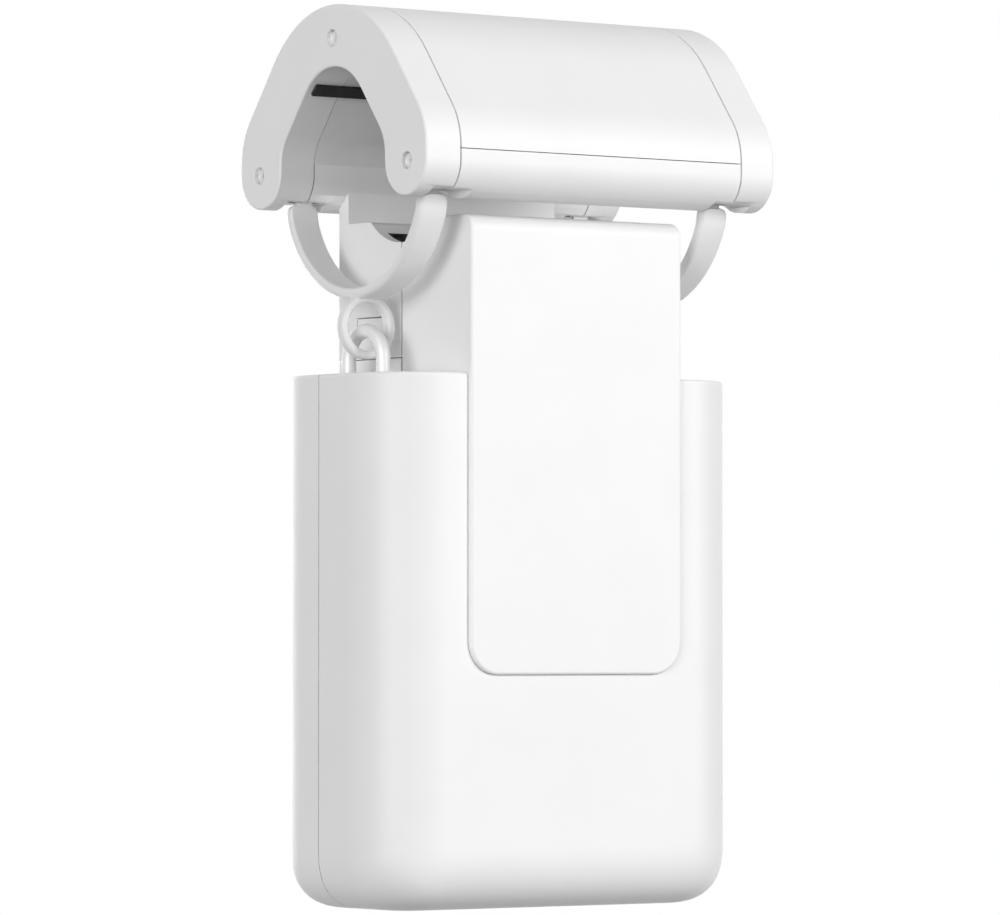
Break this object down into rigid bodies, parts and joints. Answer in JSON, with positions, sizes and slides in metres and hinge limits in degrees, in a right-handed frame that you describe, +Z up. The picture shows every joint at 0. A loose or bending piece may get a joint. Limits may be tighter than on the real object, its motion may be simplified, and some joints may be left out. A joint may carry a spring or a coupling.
{
  "type": "curtain robot",
  "caption": "Curtain robot: a rounded head hangs on a curtain rod by idler rollers, rings link it to a flat body, and a sprung front unit presses drive wheels against the rod.",
  "frame": {"origin": "on the axis of the curtain rod, at the middle of the head", "axes": "+X along the rod, -Y towards the front panel, +Z up"},
  "size_m": [0.0804, 0.0576, 0.1605],
  "materials": {
    "shell_white": "fine satin moulded plastic, white",
    "ring_white": "smooth satin plastic, white",
    "liner_white": "plain moulded plastic, off-white",
    "bail_steel": "satin plated wire",
    "screw_steel": "zinc-plated screws",
    "axle_steel": "ground steel",
    "spring_steel": "spring wire",
    "rubber_black": "matt moulded rubber",
    "hub_black": "plain moulded plastic",
    "frame_grey": "glass-filled plastic",
    "gear_nylon": "natural nylon",
    "brass": "turned brass",
    "motor_steel": "drawn motor can",
    "board_green": "solder-masked board",
    "cell_wrap": "sleeved metal cells",
    "contact_nickel": "nickel strip",
    "light_pipe": "clear light guide"
  },
  "bodies": {
    "main_body": {"rear_shell": "shell_white", "front_shell": "shell_white", "rear_arm": "shell_white", "head_cover": "shell_white", "roller_carrier": "liner_white", "front_rail": "shell_white", "end_cap_left": "shell_white", "end_cap_right": "shell_white", "cap_screws_left": "screw_steel", "cap_screws_right": "screw_steel", "rod_pad_front": "rubber_black", "rod_pad_rear": "rubber_black", "idler_axle_left": "axle_steel", "idler_axle_right": "axle_steel", "bail_left": "bail_steel", "bail_right": "bail_steel", "arm_screws": "screw_steel", "shell_screws": "screw_steel", "circuit_board": "board_green", "board_screws": "screw_steel", "tact_switch": "hub_black", "status_light": "light_pipe", "charging_socket": "contact_nickel", "battery_cell_upper": "cell_wrap", "battery_cell_lower": "cell_wrap", "battery_holder": "frame_grey", "battery_contacts": "contact_nickel", "lift_spring_left": "spring_steel", "lift_spring_right": "spring_steel"},
    "drive_unit": {"front_panel": "shell_white", "gearbox_plate": "frame_grey", "motor_plate": "frame_grey", "rear_axle_plate": "frame_grey", "frame_pillars": "axle_steel", "frame_screws": "screw_steel", "panel_screws": "screw_steel", "axle_bushes": "brass", "gear_pin": "axle_steel", "motor": "motor_steel"},
    "idler_left": {"idler_core_left": "hub_black", "idler_sleeve_left": "rubber_black"},
    "ring_left": {"ring_left": "ring_white"},
    "release_button_left": {"release_button_left": "shell_white"},
    "drive_wheel_left": {"wheel_hub_left": "hub_black", "wheel_tyre_left": "rubber_black", "wheel_axle_left": "axle_steel", "wheel_gear_left": "gear_nylon"},
    "idler_right": {"idler_core_right": "hub_black", "idler_sleeve_right": "rubber_black"},
    "ring_right": {"ring_right": "ring_white"},
    "release_button_right": {"release_button_right": "shell_white"},
    "drive_wheel_right": {"wheel_hub_right": "hub_black", "wheel_tyre_right": "rubber_black", "wheel_axle_right": "axle_steel", "wheel_gear_right": "gear_nylon"},
    "function_button": {"function_button": "shell_white"},
    "central_gear": {"central_gear": "gear_nylon"},
    "motor_rotor": {"motor_shaft": "axle_steel", "motor_gear": "brass"}
  },
  "joints": [
    {"name": "drive_unit_lift", "type": "slide", "parent": "main_body", "child": "drive_unit", "axis": [0, 0, 1], "range_m": [0, 0.002], "deforming": ["lift_spring_left", "lift_spring_right"]},
    {"name": "drive_wheel_left_spin", "type": "hinge", "parent": "drive_unit", "child": "drive_wheel_left", "pos_m": [-0.011, 0, -0.0205], "axis": [0, 1, 0], "continuous": true},
    {"name": "idler_left_spin", "type": "hinge", "parent": "main_body", "child": "idler_left", "pos_m": [-0.015, 0, 0.017], "axis": [0, 1, 0], "continuous": true},
    {"name": "ring_left_swing", "type": "hinge", "parent": "main_body", "child": "ring_left", "pos_m": [-0.0312, 0, -0.00176], "axis": [1, 0, 0], "range_deg": [-3, 3]},
    {"name": "release_button_left_press", "type": "slide", "parent": "main_body", "child": "release_button_left", "axis": [1, 0, 0], "range_m": [0, 0.0012], "stiffness_N_per_m": 800},
    {"name": "drive_wheel_right_spin", "type": "hinge", "parent": "drive_unit", "child": "drive_wheel_right", "pos_m": [0.011, 0, -0.0205], "axis": [0, 1, 0], "continuous": true},
    {"name": "idler_right_spin", "type": "hinge", "parent": "main_body", "child": "idler_right", "pos_m": [0.015, 0, 0.017], "axis": [0, 1, 0], "continuous": true},
    {"name": "ring_right_swing", "type": "hinge", "parent": "main_body", "child": "ring_right", "pos_m": [0.0312, 0, -0.00176], "axis": [1, 0, 0], "range_deg": [-3, 3]},
    {"name": "release_button_right_press", "type": "slide", "parent": "main_body", "child": "release_button_right", "axis": [-1, 0, 0], "range_m": [0, 0.0012], "stiffness_N_per_m": 800},
    {"name": "function_button_press", "type": "slide", "parent": "main_body", "child": "function_button", "axis": [0, -1, 0], "range_m": [0, 0.0006], "stiffness_N_per_m": 1500},
    {"name": "central_gear_spin", "type": "hinge", "parent": "drive_unit", "child": "central_gear", "pos_m": [0, 0, -0.0332], "axis": [0, 1, 0], "continuous": true},
    {"name": "motor_rotor_spin", "type": "hinge", "parent": "drive_unit", "child": "motor_rotor", "pos_m": [0, 0, -0.0492], "axis": [0, 1, 0], "continuous": true}
  ],
  "couplings": [
    {"joint": "drive_wheel_right_spin", "follows": "drive_wheel_left_spin", "ratio": 1},
    {"joint": "central_gear_spin", "follows": "drive_wheel_left_spin", "ratio": -0.75},
    {"joint": "motor_rotor_spin", "follows": "drive_wheel_left_spin", "ratio": 1.125}
  ]
}
